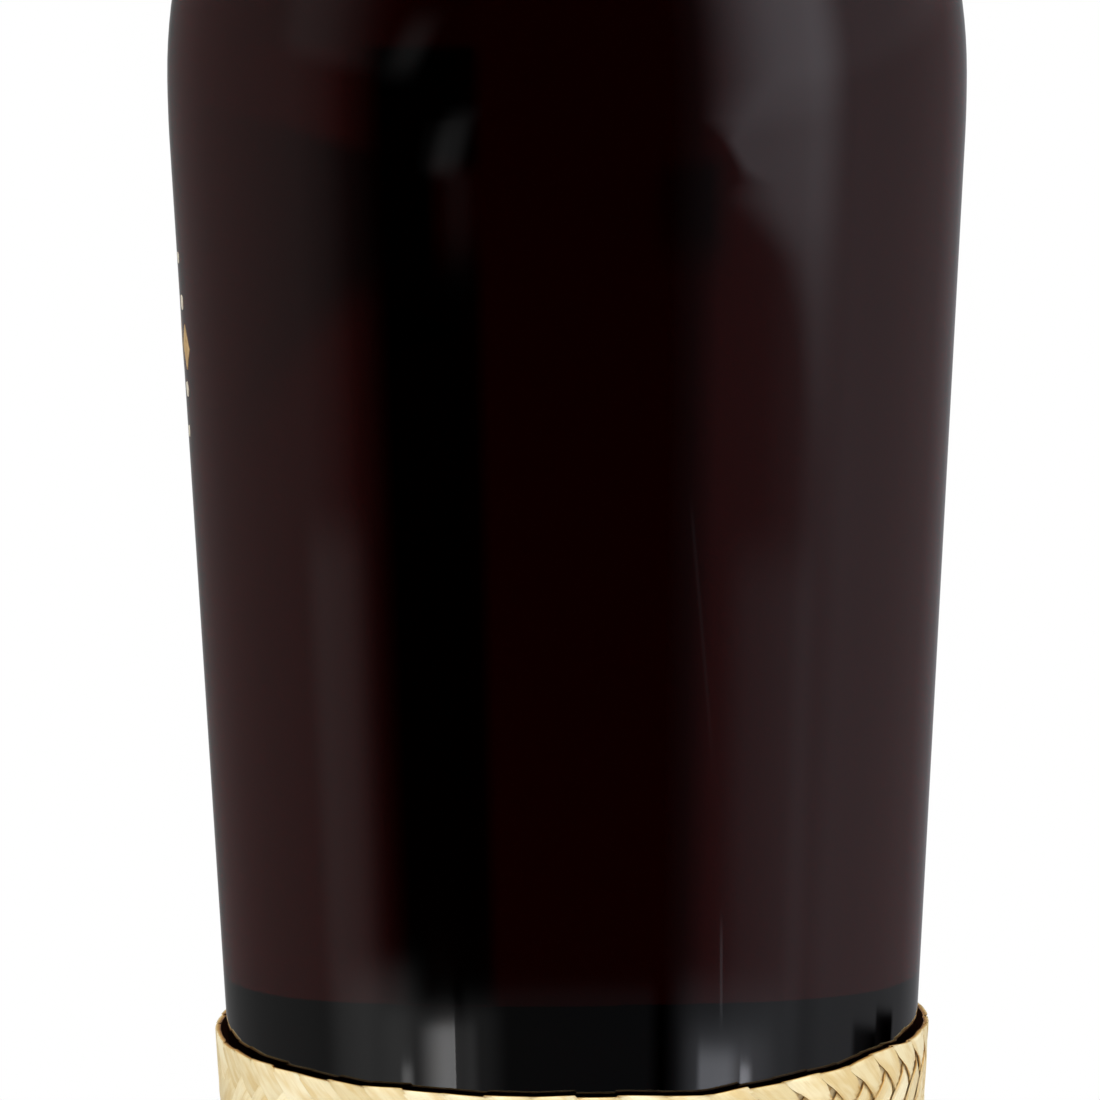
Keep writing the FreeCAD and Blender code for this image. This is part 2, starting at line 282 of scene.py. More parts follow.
def palm_material():
    """Straw-coloured leaf: fibres along each strip, a tone of its own, and painted shade, brown in the creases,
    at the folded edge and inside.
    """
    material, nodes, shader, _ = new_material("palm_leaf")
    across, along = nodes.value("across"), nodes.value("along")
    tone, shade = nodes.value("tone"), nodes.value("shade")
    fibre_place = nodes.vector(nodes.math("MULTIPLY", across, 9.0), nodes.math("MULTIPLY", along, 0.16),
                               nodes.math("MULTIPLY", tone, 40.0))
    fibres = nodes.noise(fibre_place, 1.0, 4.0, 0.6)
    blotch_place = nodes.vector(nodes.math("MULTIPLY", across, 1.2), nodes.math("MULTIPLY", along, 0.35),
                                nodes.math("MULTIPLY", tone, 17.0))
    blotches = nodes.noise(blotch_place, 0.6, 2.0)
    colour = nodes.ramp(tone, [(0.0, (0.64, 0.52, 0.28)), (0.35, (0.72, 0.61, 0.37)),
                               (0.7, (0.76, 0.66, 0.42)), (1.0, (0.80, 0.71, 0.48))])
    streaks = nodes.ramp(fibres, [(0.3, (0.84, 0.77, 0.64)), (0.5, 1.0), (0.72, (1.0, 0.98, 0.93))])
    colour = nodes.mix(0.55, colour, streaks, "MULTIPLY")
    warm = nodes.ramp(blotches, [(0.36, (0.87, 0.76, 0.56)), (0.56, 1.0)])
    colour = nodes.mix(0.8, colour, warm, "MULTIPLY")
    # Painted shade: the shade numbers, with the fibres, darken the leaf to brown where strips dip under others,
    # along loose strips' edges, at the fold and on the inner side.
    uneven = nodes.math("MULTIPLY_ADD", nodes.math("SUBTRACT", fibres, 0.5), 0.5, shade)
    painted_shade_colour = nodes.ramp(uneven, [(0.12, (1.0, 1.0, 1.0)), (0.42, (0.72, 0.5, 0.22)),
                                  (0.8, (0.3, 0.15, 0.055)), (1.0, (0.08, 0.035, 0.018))])
    colour = nodes.mix(1.0, colour, painted_shade_colour, "MULTIPLY")
    nodes.set(shader.inputs["Base Color"], colour)
    nodes.set(shader.inputs["Roughness"], nodes.span(fibres, 0.3, 0.75, 0.6, 0.44))
    nodes.set(shader.inputs["Normal"], nodes.bump(fibres, 0.35, 0.12))
    return material


def wood_material():
    """Dark stained wood: long grain up the head, fine pores and a satin finish."""
    material, nodes, shader, _ = new_material("turned_wood")
    place = nodes.add("ShaderNodeTexCoord").outputs["Object"]
    long_grain = nodes.add("ShaderNodeMapping", Vector=place, Scale=(230, 230, 26)).outputs[0]
    grain = nodes.noise(long_grain, 1.0, 5.0, 0.62)
    rings = nodes.add("ShaderNodeTexWave", {"bands_direction": "X"}, Vector=place, Scale=80.0, Distortion=6.5,
                      Detail=3.0).outputs[0]
    figure = nodes.math("MULTIPLY_ADD", rings, 0.2, nodes.math("MULTIPLY", grain, 0.8))
    colour = nodes.ramp(figure, [(0.2, (0.022, 0.009, 0.004)), (0.5, (0.075, 0.031, 0.014)),
                                 (0.8, (0.15, 0.068, 0.03))])
    pore_place = nodes.add("ShaderNodeMapping", Vector=place, Scale=(1900, 1900, 140)).outputs[0]
    pores = nodes.noise(pore_place, 1.0, 2.0)
    dark = nodes.ramp(pores, [(0.34, 0.35), (0.44, 1.0)])
    colour = nodes.mix(0.8, colour, dark, "MULTIPLY")
    nodes.set(shader.inputs["Base Color"], colour)
    nodes.set(shader.inputs["Roughness"], nodes.span(figure, 0.2, 0.8, 0.46, 0.32))
    shader.inputs["Coat Weight"].default_value = 0.2
    shader.inputs["Coat Roughness"].default_value = 0.25
    nodes.set(shader.inputs["Normal"], nodes.bump(pores, 0.3, 0.08))
    return material


def cork_material():
    """Cork: buff grains, dark pits and lenticels."""
    material, nodes, shader, _ = new_material("cork")
    place = nodes.add("ShaderNodeTexCoord").outputs["Object"]
    grains = nodes.add("ShaderNodeTexVoronoi", Vector=place, Scale=900.0)
    pit_place = nodes.add("ShaderNodeMapping", Vector=place, Scale=(420, 420, 900)).outputs[0]
    pits = nodes.noise(pit_place, 1.0, 4.0)
    colour = nodes.ramp(grains.outputs["Distance"], [(0.0, (0.66, 0.45, 0.26)), (0.6, (0.50, 0.31, 0.16)),
                                                     (1.0, (0.36, 0.2, 0.1))])
    holes = nodes.ramp(pits, [(0.3, (0.16, 0.08, 0.04)), (0.42, 1.0)])
    nodes.set(shader.inputs["Base Color"], nodes.mix(1.0, colour, holes, "MULTIPLY"))
    shader.inputs["Roughness"].default_value = 0.85
    nodes.set(shader.inputs["Normal"], nodes.bump(pits, 0.6, 0.2))
    return material


def print_material(name, thin, full):
    """Printed ink, a little thin in places."""
    material, nodes, shader, _ = new_material(name)
    place = nodes.add("ShaderNodeTexCoord").outputs["Object"]
    wear = nodes.noise(place, 700.0, 4.0, 0.65)
    nodes.set(shader.inputs["Base Color"], nodes.ramp(wear, [(0.32, thin), (0.55, full)]))
    nodes.set(shader.inputs["Roughness"], nodes.span(wear, 0.3, 0.7, 0.5, 0.34))
    return material


# ---------------------------------------------------------------- glass and stopper

GLASS_SEGMENTS = 240
GLASS_STEP = 2.0  # the longest step up the outline
GLASS_RIPPLE = 0.006  # how far blown glass strays from the true turned form
RIPPLE_LENGTH = 26.0
RIPPLE_START, RIPPLE_FULL = 10.0, 30.0  # the ripple fades out toward the axis between these radii
STOPPER_SEGMENTS = 160
HEAD_ROUNDING = 1.5
HEAD_GROOVE = 0.6


def make_glass():
    """The bottle with what it holds, as one clear absorbing body."""
    vertices, faces = lathe(divide(glass_outline(), GLASS_STEP), GLASS_SEGMENTS)
    rippled = []
    for x, y, z in vertices:
        inward = GLASS_RIPPLE * (0.5 - 0.5 * noise.noise(Vector((x, y, z * 0.6)) / RIPPLE_LENGTH))
        radius = math.hypot(x, y)
        fade = smooth((radius - RIPPLE_START) / (RIPPLE_FULL - RIPPLE_START))
        share = 1 - inward / radius * fade if radius else 1.0
        rippled.append((x * share, y * share, z))
    piece = add_piece("glass_bottle", rippled, faces, glass_material(), "dark_glass", 50)
    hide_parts("bottle_glass")


def make_stopper():
    """The turned wooden head with its one line, and the short stretch of cork under it."""
    low, high = (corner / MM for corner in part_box("stopper_head"))
    radius, rounding = high.x, HEAD_ROUNDING
    middle, groove = (low.z + high.z) / 2, HEAD_GROOVE
    outline = [(0, low.z)] + arc((radius - rounding, low.z + rounding), rounding, -90, 0, 8)
    outline += [(radius, middle - groove), (radius - groove, middle), (radius, middle + groove)]
    outline += arc((radius - rounding, high.z - rounding), rounding, 0, 90, 8) + [(0, high.z)]
    vertices, faces = lathe(divide(outline, 1.5), STOPPER_SEGMENTS)
    head = add_piece("stopper_turned_head", vertices, faces, wood_material(), "turned_wood")
    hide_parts("stopper_head")
    low, high = (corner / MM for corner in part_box("stopper_cork"))
    outline = divide([(0, low.z), (high.x, low.z), (high.x, high.z), (0, high.z)], 0.4)
    vertices, faces = lathe(outline, STOPPER_SEGMENTS)
    cork = add_piece("stopper_cork_shank", vertices, faces, cork_material(), "cork")
    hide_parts("stopper_cork")


# ---------------------------------------------------------------- printed ornament

PRINT_THICKNESS = 0.04
PRINT_SUNK = 0.01  # how far the ink reaches into the glass, so that no gap shows
PRINT_STEP = 1.2  # the longest step along a line of ink
FRONT = -90.0  # the front's turn about Z, in degrees
POINTED = 0.03  # half the width of a line of ink at its pointed end
ORNAMENT_MIDDLE = 168.0  # the ornament's middle level
ORNAMENT_HALF_HIGH = 17.0
LOZENGE_PITCH = 7.0  # in degrees round the bottle
DOTS_OUT = 9.6  # how far the rows of dots are from the middle level
FINIAL_TURN = 45.0  # where the mark at each side of the frame stands, in degrees from the front


def stroke(points, closed=False):
    """Vertices and faces of a line of ink on the glass.

    Its points are (turn in degrees from the front, level, half the line's width).
    """
    places = [(math.radians(turn) * BODY_RADIUS, level, half) for turn, level, half in points]
    fine = []
    for a, b in zip(places, places[1:] + places[:1] if closed else places[1:]):
        steps = max(1, math.ceil(math.dist(a[:2], b[:2]) / PRINT_STEP))
        fine += [tuple(a[k] + (b[k] - a[k]) * i / steps for k in range(3)) for i in range(steps)]
    if not closed:
        fine.append(places[-1])
    vertices, faces = [], []
    count = len(fine)
    for i, (u, level, half) in enumerate(fine):
        before = fine[(i - 1) % count] if closed or i else fine[0]
        after = fine[(i + 1) % count] if closed or i < count - 1 else fine[-1]
        du, dz = after[0] - before[0], after[1] - before[1]
        length = math.hypot(du, dz) or 1.0
        nu, nz = -dz / length * half, du / length * half
        for side, out in (
                (-1, -PRINT_SUNK), (-1, PRINT_THICKNESS), (1, PRINT_THICKNESS), (1, -PRINT_SUNK)):
            turn = math.radians(FRONT) + (u + side * nu) / BODY_RADIUS
            z = level + side * nz
            radius = outer_radius(z) + out
            vertices.append((radius * math.cos(turn), radius * math.sin(turn), z))
    for i in range(count if closed else count - 1):
        a, b = 4 * i, 4 * ((i + 1) % count)
        for k in range(4):
            n = (k + 1) % 4
            faces.append((a + k, b + k, b + n, a + n))
    if not closed:
        last = 4 * (count - 1)
        faces += [(0, 1, 2, 3), (last + 3, last + 2, last + 1, last)]
    return vertices, faces


def dot_points(turn, level, radius, steps=10):
    """A filled dot as one short line that widens and narrows."""
    width = math.degrees(radius / BODY_RADIUS)
    points = []
    for i in range(steps + 1):
        x = -1 + 2 * i / steps
        points.append((turn + width * x, level, max(POINTED, radius * math.sqrt(max(0.0, 1 - x * x)))))
    return points


def lozenge(turn, level, wide, high):
    """A filled lozenge, half as wide as that in degrees and half as high as that in millimetres."""
    return [(turn - wide, level, POINTED), (turn, level, high), (turn + wide, level, POINTED)]


def make_print():
    """A generic ornament at the front: a gold frame with lozenges, zigzags and dots, and a finial at each side.

    Each finial is a lozenge with a bowed row of cream dots, laid out evenly about the frame's middle level.
    """
    gold, cream = [], []
    middle = ORNAMENT_MIDDLE
    for inset, half in ((0.0, 0.3), (1.7, 0.14)):
        tip, bend, top = 36.5 - 1.9 * inset, 27.0 - inset, ORNAMENT_HALF_HIGH - inset
        gold.append(([(-tip, middle, half), (-bend, middle + top, half), (bend, middle + top, half),
                      (tip, middle, half), (bend, middle - top, half), (-bend, middle - top, half)], True))
    for k in range(-3, 4):
        turn, dots_out = k * LOZENGE_PITCH, DOTS_OUT - 0.35 * abs(k)
        gold.append((lozenge(turn, middle, 2.9, 5.4 - 0.6 * abs(k)), False))
        cream.append((dot_points(turn, middle + dots_out, 0.8), False))
        cream.append((dot_points(turn, middle - dots_out, 0.8), False))
    for way in (-1, 1):
        zigzag = [(k * LOZENGE_PITCH / 2, middle + way * (12.9 if k % 2 else 7.6), 0.2) for k in range(-7, 8)]
        gold.append((zigzag, False))
        gold.append((lozenge(way * FINIAL_TURN, middle, 3.0, 2.4), False))
        for step in (-2, -1, 1, 2):
            turn, level = way * (FINIAL_TURN - 1.5 * abs(step)), middle + 4.6 * step
            cream.append((dot_points(turn, level, 1.0 - 0.2 * abs(step)), False))
    for name, colours, lines in (
            ("printed_ornament_gold", ((0.34, 0.2, 0.08), (0.50, 0.32, 0.13)), gold),
            ("printed_ornament_cream", ((0.50, 0.44, 0.33), (0.70, 0.64, 0.51)), cream)):
        vertices, faces = [], []
        for points, closed in lines:
            more, sides = stroke(points, closed)
            faces += [tuple(len(vertices) + i for i in face) for face in sides]
            vertices += more
        piece = add_piece(name, vertices, faces, print_material(name, *colours), "gilt_print")
        piece.visible_transmission = False  # the filled glass is too dark to show the ink's back


# ---------------------------------------------------------------- plaited band

FOLDS = 51  # strips that rise, each of which folds over the edge and falls
LEVELS = 15  # crossings up the band
STEPS_PER_LEVEL = 4
ACROSS = 5  # steps across a strip
STRIP_THICKNESS = 0.2
FOOT_MARGIN, EDGE_MARGIN = 0.3, 0.42  # what the strips' unevenness needs inside the solid's height
PLAIT_SWING = 0.18  # how far a strip moves out and in from the middle of the plait
PLAIT_MIDDLE = 0.98  # the middle of the plait from the glass
SHINGLE = 0.07  # how far a strip's one edge lies further out than the other
LOOSE_SIDE = 95.0  # the turn where the strips lie least close, in degrees
EDGE_LEAN = 0.22  # how much higher the edge stands at its high side than on average
HIGH_SIDE = 125.0
# How much higher the edge stands and how much nearer the glass it is: (turn in degrees, higher, nearer).
EDGE_STANDS = [
    (-181, 0.0, 0.0), (44, 0.0, 0.0), (52, -0.3, 0.0), (58, -0.55, 0.0), (64, -0.3, 0.0), (70, -0.15, 0.0),
    (83, -0.1, 0.1), (88, 0.3, 0.25), (93, 0.5, 0.35), (99, 0.6, 0.35), (104, 0.2, 0.2), (109, 0.15, 0.0),
    (114, 0.4, 0.0), (122, 0.1, 0.0), (130, 0.0, 0.0), (181, 0.0, 0.0)]
LINER_OUT = 0.74  # the inner layer from the glass
LINER_BELOW, LINER_SHORT = 1.2, 1.0  # how far it stays inside the strips' foot and edge
LINER_SEGMENTS, LINER_ROWS = 204, 12
# The liner's painted shade, which browns it, and its tone.
LINER_SHADE, LINER_TONE = 0.2, 0.3


def passes_over(crossing):
    """+1 where the rising strip lies outside at that crossing, -1 where inside: two over, two under."""
    return 1 if math.floor((LEVELS - crossing) / 2) % 2 else -1


def swing(crossing):
    """The rising strip's place, from -1 inside to 1 outside, between crossings too."""
    low = math.floor(crossing)
    turn = smooth((crossing - low - 0.5) / 0.4 + 0.5)
    return passes_over(low) * (1 - turn) + passes_over(low + 1) * turn


def looseness(turn):
    """0 where the strips lie close and 1 where they gape."""
    return max(0.0, math.cos(turn - math.radians(LOOSE_SIDE))) ** 1.5


def edge_stand(turn):
    """EDGE_STANDS at any turn: the edge's extra height and its pull toward the glass."""
    turn = (turn + 180) % 360 - 180
    for a, b in zip(EDGE_STANDS, EDGE_STANDS[1:]):
        if turn < b[0]:
            share = (turn - a[0]) / (b[0] - a[0])
            return a[1] + (b[1] - a[1]) * share, a[2] + (b[2] - a[2]) * share


def make_band():
    """Each strip goes up to the right, folds over the edge and goes down to the right."""
    box_low, box_high = (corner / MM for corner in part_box("palm_band"))
    low, high = box_low.z + FOOT_MARGIN, box_high.z - EDGE_MARGIN
    rise = (high - low) / LEVELS
    pitch = 2 * math.pi / FOLDS
    draw = random.Random(11)
    vertices, faces = [], []
    across, along, tones, shades = [], [], [], []
    levels = [i / STEPS_PER_LEVEL for i in range(LEVELS * STEPS_PER_LEVEL + 1)]
    # A row of a strip is (level, 1 where it rises or -1 where it falls, 1 at the fold).
    rows = [(level, 1, 0) for level in levels] + [(LEVELS, -1, 1)]
    rows += [(level, -1, 0) for level in reversed(levels)]
    width = 2 * (ACROSS + 1)
    ring = [*range(ACROSS + 1), *range(width - 1, ACROSS, -1)]
    for strip in range(FOLDS):
        start = len(vertices)
        tone = {1: draw.random(), -1: draw.random()}
        share = {way: draw.uniform(0.0, 1.0) for way in (1, -1)}
        drift = {way: draw.uniform(-0.02, 0.02) for way in (1, -1)}
        lift, tilt = draw.uniform(-0.1, 0.1), draw.uniform(-0.12, 0.12)
        foot_lift, foot_tilt = draw.uniform(-0.06, 0.06), draw.uniform(-0.1, 0.1)
        for row, (level, way, fold) in enumerate(rows):
            centre = strip + level / 2 if way == 1 else strip + LEVELS - level / 2
            loose = looseness(centre * pitch)
            inland = smooth((min(level, LEVELS - level) - 0.3) / 0.8)
            strip_share = 1.04 - inland * loose * (0.18 + 0.26 * share[way])
            top, foot = smooth((level - LEVELS + 1.6) / 1.6), smooth((1.6 - level) / 1.6)
            for side in (1, -1):
                for k in range(ACROSS + 1):
                    offset = (k / ACROSS - 0.5) * strip_share + drift[way] * inland
                    place = centre + offset
                    if way == 1:
                        lies = swing(place + level / 2 - strip)
                    else:
                        lies = -swing(strip + LEVELS - (place - level / 2))
                    outward = -side * way
                    out = lies * PLAIT_SWING - 0.05 * (2 * offset) ** 2 - SHINGLE * offset
                    out += outward * STRIP_THICKNESS / 2
                    turn = place * pitch
                    z = (low + rise * level + top * (lift + tilt * 2 * offset)
                         + foot * (foot_lift + foot_tilt * 2 * offset))
                    z += EDGE_LEAN * math.cos(turn - math.radians(HIGH_SIDE))
                    stands, nearer = edge_stand(math.degrees(turn))
                    z += top * stands
                    if fold:
                        out = PLAIT_SWING + outward * STRIP_THICKNESS * 0.3
                        z += 0.04 if outward > 0 else -0.1
                    radius = wall_radius(z) + PLAIT_MIDDLE + out - top * nearer
                    vertices.append((radius * math.cos(turn), radius * math.sin(turn), z))
                    across.append(offset * 4.6 * math.sqrt(0.5))
                    along.append(row * rise * 1.4 / STEPS_PER_LEVEL + strip * 7.3)
                    tones.append(tone[way])
                    near_edge = smooth((level - LEVELS + 2.0) / 1.0)
                    if fold:
                        # Painted shade on the fold's top, darker on its inner half, so its reflection in the
                        # glass stays dark.
                        shades.append(0.12 if outward > 0 else 0.6)
                    elif outward < 0:
                        # Painted shade on the inner side, darkest near the edge, where the band shades itself
                        # against the glass.
                        shades.append(0.12 + 0.8 * near_edge)
                    else:
                        # Painted shade where the strip dips under its neighbour, and along its edges where the
                        # strips gape.
                        dips = smooth((0.6 - lies) / 1.3) * (0.05 + 0.2 * loose)
                        shades.append(dips + 0.2 * loose * inland * abs(2 * k / ACROSS - 1) ** 3)
        for row in range(len(rows) - 1):
            a, b = start + row * width, start + (row + 1) * width
            for i, j in zip(ring, ring[1:] + ring[:1]):
                faces.append((a + i, a + j, b + j, b + i))
        last = start + (len(rows) - 1) * width
        faces += [tuple(start + i for i in reversed(ring)), tuple(last + i for i in ring)]
    values = {"across": across, "along": along, "tone": tones, "shade": shades}
    piece = add_piece("plaited_band", vertices, faces, palm_material(), "palm_leaf", 60, **values)
    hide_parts("palm_band")
    make_liner(low + LINER_BELOW, high - LINER_SHORT, piece.data.materials[0])


def make_liner(low, high, material):
    """The plait's inner layer, browned by painted shade, which shows through the gaps."""
    segments, rows = LINER_SEGMENTS, LINER_ROWS
    vertices, values = [], {"across": [], "along": [], "tone": [], "shade": []}
    for row in range(rows + 1):
        z = low + (high - low) * row / rows
        for s in range(segments):
            turn = 2 * math.pi * s / segments
            radius = wall_radius(z) + LINER_OUT
            vertices.append((radius * math.cos(turn), radius * math.sin(turn), z))
            values["across"].append(s % 4)
            values["along"].append(z)
            values["tone"].append(LINER_TONE)
            values["shade"].append(LINER_SHADE)
    faces = []
    for row in range(rows):
        for s in range(segments):
            n = (s + 1) % segments
            a, b = row * segments, (row + 1) * segments
            faces.append((a + s, a + n, b + n, b + s))
    add_piece("plait_inner_layer", vertices, faces, material, "palm_leaf", 60, **values)


# ---------------------------------------------------------------- studio

# A panel of the studio that only reflecting surfaces see is (azimuths, heights, strength, lean). The azimuths
# are fixed directions in the world, in degrees from the side where the photograph was taken toward its
# picture's right: where the panel starts, is full, stops being full and ends. The heights are the same from
# its foot up. A height is an elevation in degrees less BOW * (1 - cos(azimuth / 2)), which makes a level line
# on the leaning wall a level line here. Lean is how far the panel moves in azimuth for each unit of height.
BOW = 6.0
FOOT, TOP = (-99.0, -98.0), (98.0, 99.0)  # of a panel with no lower or no upper end
PANELS = [
    ((60, 80, 140, 180), (-6, -1, *TOP), 0.08, 0),
    ((45, 60, 75, 85), (*FOOT, -15.6, -15.0), 0.16, 0),
    ((-92, -80, -74, -60), (*FOOT, -15.4, -14.9), 0.18, 0),
    ((-95, -80, -72, -48), (-2, 3, *TOP), 0.12, 0),
    ((-38, -33, -31, -26), (-13.9, -13.3, -12.8, -10.6), 0.05, 0),
    ((-41, -34, -33, -27), (-13.0, -10.4, -9.4, -3), 0.22, 0.9),
    ((-45, -37.5, -37, -33), (-12.6, -11.0, -10.0, -6), 0.07, 0.6),
    ((-54, -46, -45, -38), (-3, 5, 7, 16), 0.16, 0.6),
    ((49.6, 50.1, 50.5, 51.0), (-18.02, -17.88, -17.55, -17.35), 0.43, -1.35),
    ((39.6, 40.1, 40.5, 41.0), (-16.8, -15.9, -15.2, -14.95), 0.085, -5.8),
    ((-90, -66, -60, -46), (*FOOT, -17.86, -17.5), 0.4, 0),
    ((-70, -60, -44, -36), (*FOOT, -17.97, -17.8), 0.3, 0),
    ((-45, -38, -30, -20), (*FOOT, -17.95, -17.85), 0.2, 0),
    ((-54, -42, -39.4, -39), (*FOOT, -18.02, -17.96), 3.4, 0),
    ((-40, -39, -34, -30), (*FOOT, -18.02, -17.96), 0.35, 0),
    ((-60, -57.5, -56.5, -53.5), (-18.38, -18.33, -18.25, -18.18), 2.0, 0),
    ((30, 42, 66, 84), (*FOOT, -17.95, -17.6), 0.25, 0),
    ((34, 44, 60, 76), (*FOOT, -18.17, -17.9), 0.55, 0),
    ((41.5, 44, 52, 60), (*FOOT, -18.22, -18.06), 2.0, 0),
    ((57.6, 58.6, 60, 63.5), (-18.38, -18.33, -18.24, -18.19), 4.5, 0),
    ((-38, -34, 24, 30), (*FOOT, -17.85, -17.75), 0.08, 0),
    ((106, 110, 121, 123), (*FOOT, -17.95, -17.87), -0.25, 0),
    ((121, 123, 133, 136), (*FOOT, -17.85, -17.76), -0.22, 0),
    ((-181, -180, 180, 181), (*FOOT, -21, -19.0), 0.4, 0),
]
# The window at the right, whose inner edge a dark shape cuts: (height, edge's start, its end, strength).
WINDOW = [
    (-14.8, 76, 84, 0.0), (-14.4, 73, 83, 0.14), (-13.87, 67, 80, 0.3), (-13.55, 61, 76, 0.48),
    (-13.3, 44, 68, 0.7), (-12.9, 49, 62, 0.74), (-11.8, 49, 54.5, 0.76), (-9.5, 44.5, 49.5, 0.76),
    (-7.5, 37, 55, 0.92), (-1.0, 36, 66, 1.15), (20.0, 36, 66, 1.2)]
WINDOW_END = (74, 91)
# What the glass reflects all round at any height: (azimuth, strength).
SURROUND = [
    (-180, 0.32), (-165, 0.15), (-146, 0.13), (-128, 0.14), (-100, 0.19), (-85, 0.2), (-75, 0.14), (-66, 0.04),
    (-57, 0.0), (30, 0.0), (45, 0.1), (60, 0.12), (72, 0.2), (79, 0.35), (92, 0.42), (104, 0.34), (120, 0.25),
    (140, 0.17), (160, 0.2), (180, 0.32)]
# The faint blue of the light from the right: (azimuth, colour).
TINT = [(-40, (1.0, 1.0, 1.0)), (30, (0.97, 1.0, 1.1)), (150, (1.0, 1.0, 1.05))]
# What shows through the glass, for rays that leave it steepest, low and high: (azimuth, strength).
BEHIND_STEEP = [
    (-180, 0.33), (-168.5, 0.33), (-165, 1.0), (-140, 1.0), (-125, 1.35), (-110, 2.4), (110, 2.4),
    (125, 1.35), (140, 0.9), (158, 0.7), (165, 0.42), (170, 0.27), (173, 0.33), (180, 0.33)]
BEHIND_LOW = [
    (-180, 0.33), (-168.5, 0.33), (-166, 1.0), (-140, 1.0), (-125, 1.35), (-110, 2.4), (110, 2.4),
    (125, 1.35), (140, 1.0), (157, 1.0), (163, 0.0), (171.5, 0.0), (172.5, 0.33), (180, 0.33)]
BEHIND_HIGH = [
    (-180, 0.33), (-173.0, 0.3), (-171.0, 0.13), (-166.8, 0.13), (-165.1, 1.0), (-140, 1.0), (-125, 1.35),
    (-110, 2.4), (110, 2.4), (125, 1.25), (140, 0.85), (152, 0.5), (163, 0.0), (167.5, 0.0), (169, 0.33),
    (180, 0.33)]
# The elevations over which steepest passes into low, and low into high.
STEEP_SPLIT, BEHIND_SPLIT = (-9.6, -8.9), (-4.88, -4.46)
# The floor passes into plain white for the camera between these distances from the middle of the foot.
FADE_START, FADE_END = 140.0, 360.0
FLOOR_HALF = 30.0  # metres
AMBIENT = 0.55  # the world's light on surfaces that don't mirror it
LAMP_AIM = 0.14  # metres above the foot


def make_floor():
    """A pale floor that fades to plain white for the camera; the glass sees the studio instead."""
    size = FLOOR_HALF
    mesh = bpy.data.meshes.new("floor")
    corners = [(-size, -size, 0), (size, -size, 0), (size, size, 0), (-size, size, 0)]
    mesh.from_pydata(corners, [], [(0, 1, 2, 3)])
    floor = bpy.data.objects.new("floor", mesh)
    bpy.context.scene.collection.objects.link(floor)
    material = bpy.data.materials.new("pale_floor")
    material.use_nodes = True
    nodes = Nodes(material.node_tree)
    output = nodes.add("ShaderNodeOutputMaterial")
    path = nodes.add("ShaderNodeLightPath")
    diffuse = nodes.add("ShaderNodeBsdfDiffuse", Color=(0.8, 0.8, 0.8, 1))
    white = nodes.add("ShaderNodeEmission", Color=(1, 1, 1, 1), Strength=1.0)
    place = nodes.add("ShaderNodeNewGeometry").outputs["Position"]
    distance = nodes.add("ShaderNodeVectorMath", {"operation": "LENGTH"}, i0=place).outputs["Value"]
    away = nodes.span(distance, FADE_START * MM, FADE_END * MM, 0.25, 1.0)
    seen = nodes.add("ShaderNodeMixShader", i0=nodes.math("MULTIPLY", path.outputs["Is Camera Ray"], away),
                     i1=diffuse.outputs[0], i2=white.outputs[0])
    clear = nodes.add("ShaderNodeBsdfTransparent")
    through = nodes.math("MAXIMUM", path.outputs["Is Glossy Ray"], path.outputs["Is Transmission Ray"])
    final = nodes.add("ShaderNodeMixShader", i0=through, i1=seen.outputs[0], i2=clear.outputs[0])
    nodes.set(output.inputs["Surface"], final.outputs[0])
    mesh.materials.append(material)


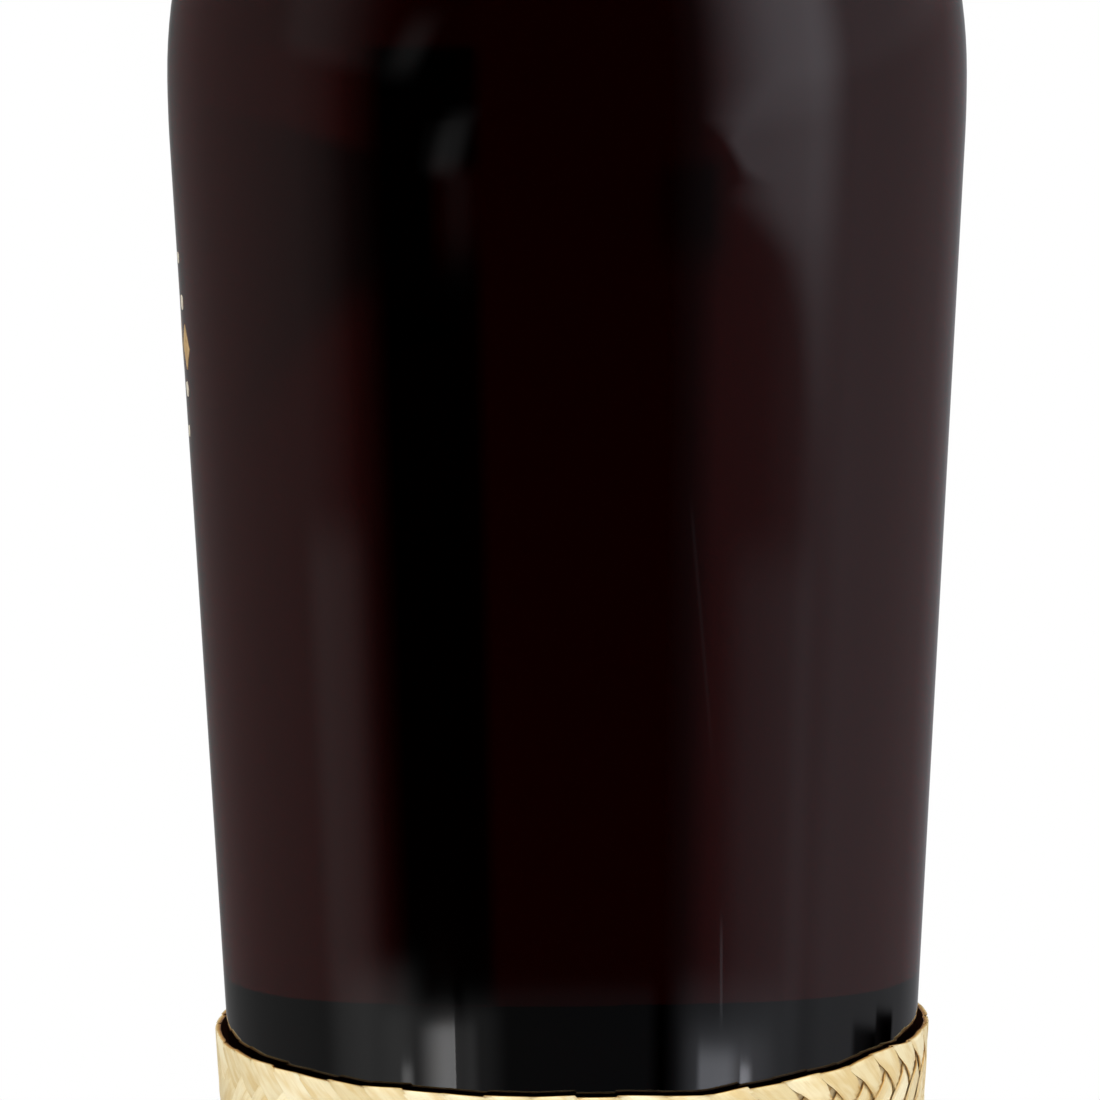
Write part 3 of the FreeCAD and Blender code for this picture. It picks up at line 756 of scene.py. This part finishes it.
def make_world():
    """White behind the bottle; for the glass, soft panels at the sides and a dark camera side."""
    world = bpy.data.worlds.new("studio")
    bpy.context.scene.world = world
    world.use_nodes = True
    nodes = Nodes(world.node_tree)
    output = nodes.add("ShaderNodeOutputWorld")
    path = nodes.add("ShaderNodeLightPath")
    direction = nodes.add("ShaderNodeTexCoord").outputs["Generated"]
    turned = nodes.add("ShaderNodeVectorRotate", {"rotation_type": "Z_AXIS"}, Vector=direction,
                       Angle=-math.radians(VIEW_AZIMUTH - 90)).outputs[0]
    parts = nodes.add("ShaderNodeSeparateXYZ", i0=turned)
    azimuth = nodes.math("DEGREES", nodes.math("ARCTAN2", parts.outputs["Y"], parts.outputs["X"]))
    elevation = nodes.math("DEGREES", nodes.math("ARCSINE", parts.outputs["Z"]))
    share = nodes.math("MULTIPLY_ADD", azimuth, 1 / 360, 0.5)
    surround = nodes.ramp(share, [((a + 180) / 360, strength) for a, strength in SURROUND])
    steep, low, high = (nodes.ramp(share, [((a + 180) / 360, strength) for a, strength in stops])
                        for stops in (BEHIND_STEEP, BEHIND_LOW, BEHIND_HIGH))
    behind_light = nodes.mix(nodes.span(elevation, *STEEP_SPLIT), steep, low)
    behind_light = nodes.mix(nodes.span(elevation, *BEHIND_SPLIT), behind_light, high)
    tint = nodes.ramp(share, [((a + 180) / 360, colour) for a, colour in TINT])
    half_turn = nodes.math("RADIANS", nodes.math("MULTIPLY", azimuth, 0.5))
    bow = nodes.math("SUBTRACT", 1.0, nodes.math("COSINE", half_turn))
    height = nodes.math("MULTIPLY_ADD", bow, -BOW, elevation)
    total = surround
    for azimuths, heights, strength, lean in PANELS:
        side = nodes.math("MULTIPLY_ADD", height, -lean, azimuth) if lean else azimuth
        if lean:
            middle = lean * (heights[1] + heights[2]) / 2
            azimuths = [a - middle for a in azimuths]
        shape = nodes.math("MULTIPLY", nodes.window(side, *azimuths), nodes.window(height, *heights))
        total = nodes.math("MULTIPLY_ADD", shape, strength, total)
    window_share = nodes.math("MULTIPLY_ADD", height, 1 / 40, 0.5)
    edge = nodes.ramp(window_share, [((h + 20) / 40, (start / 100, end / 100, strength))
                                     for h, start, end, strength in WINDOW])
    edge = nodes.add("ShaderNodeSeparateColor", i0=edge).outputs
    start, end = (nodes.math("MULTIPLY", edge[k], 100.0) for k in (0, 1))
    inner = nodes.span(azimuth, start, end)
    shape = nodes.math("MULTIPLY", inner, nodes.span(azimuth, *WINDOW_END, 1.0, 0.0))
    total = nodes.math("MULTIPLY_ADD", shape, edge[2], total)
    total = nodes.math("MAXIMUM", total, 0.0)
    ambient = nodes.add("ShaderNodeBackground", Color=(1, 1, 1, 1), Strength=AMBIENT)
    mirror = nodes.add("ShaderNodeBackground", Color=tint, Strength=total)
    behind = nodes.add("ShaderNodeBackground", Color=behind_light, Strength=1.0)
    white = nodes.add("ShaderNodeBackground", Color=(1, 1, 1, 1), Strength=1.0)
    mixed = ambient
    for ray, light in (("Is Glossy Ray", mirror), ("Is Transmission Ray", behind), ("Is Camera Ray", white)):
        seen = path.outputs[ray]
        mixed = nodes.add("ShaderNodeMixShader", i0=seen, i1=mixed.outputs[0], i2=light.outputs[0])
    nodes.set(output.inputs["Surface"], mixed.outputs[0])


def make_lamp(name, azimuth, elevation, distance, size, power):
    """A square soft lamp that faces the bottle's middle."""
    light = bpy.data.lights.new(name, "AREA")
    light.size = size
    light.energy = power
    lamp = bpy.data.objects.new(name, light)
    bpy.context.scene.collection.objects.link(lamp)
    aim = Vector((0, 0, LAMP_AIM))
    away = Vector((sin(azimuth) * cos(elevation), -cos(azimuth) * cos(elevation), sin(elevation)))
    lamp.location = aim + away * distance
    lamp.rotation_euler = away.to_track_quat("Z", "Y").to_euler()


def make_camera():
    """The photograph's view."""
    camera = bpy.data.cameras.new("camera")
    camera.sensor_width = 36.0
    camera.angle = math.radians(LENS_ANGLE)
    camera.clip_end = 100
    eye = bpy.data.objects.new("camera", camera)
    bpy.context.scene.collection.objects.link(eye)
    away = Vector((sin(VIEW_AZIMUTH), -cos(VIEW_AZIMUTH), 0))
    right = Vector((cos(VIEW_AZIMUTH), sin(VIEW_AZIMUTH), 0))
    place = away * VIEW_DISTANCE + Vector((0, 0, VIEW_HEIGHT))
    aim = -right * AIM_LEFT + Vector((0, 0, AIM_LEVEL))
    eye.location = place * MM
    turn = (place - aim).to_track_quat("Z", "Y")
    turn.rotate(Quaternion((place - aim).normalized(), math.radians(-VIEW_ROLL)))
    eye.rotation_euler = turn.to_euler()
    bpy.context.scene.camera = eye


make_glass()
make_stopper()
make_print()
make_band()
make_floor()
make_world()
make_lamp("lamp_above", VIEW_AZIMUTH - 12, 64, 1.3, 0.9, 15)
make_lamp("lamp_left", VIEW_AZIMUTH - 80, 44, 1.4, 0.8, 7)
make_lamp("lamp_right", VIEW_AZIMUTH + 70, 44, 1.4, 0.8, 10)
make_camera()
bpy.context.scene.view_settings.view_transform = "Standard"
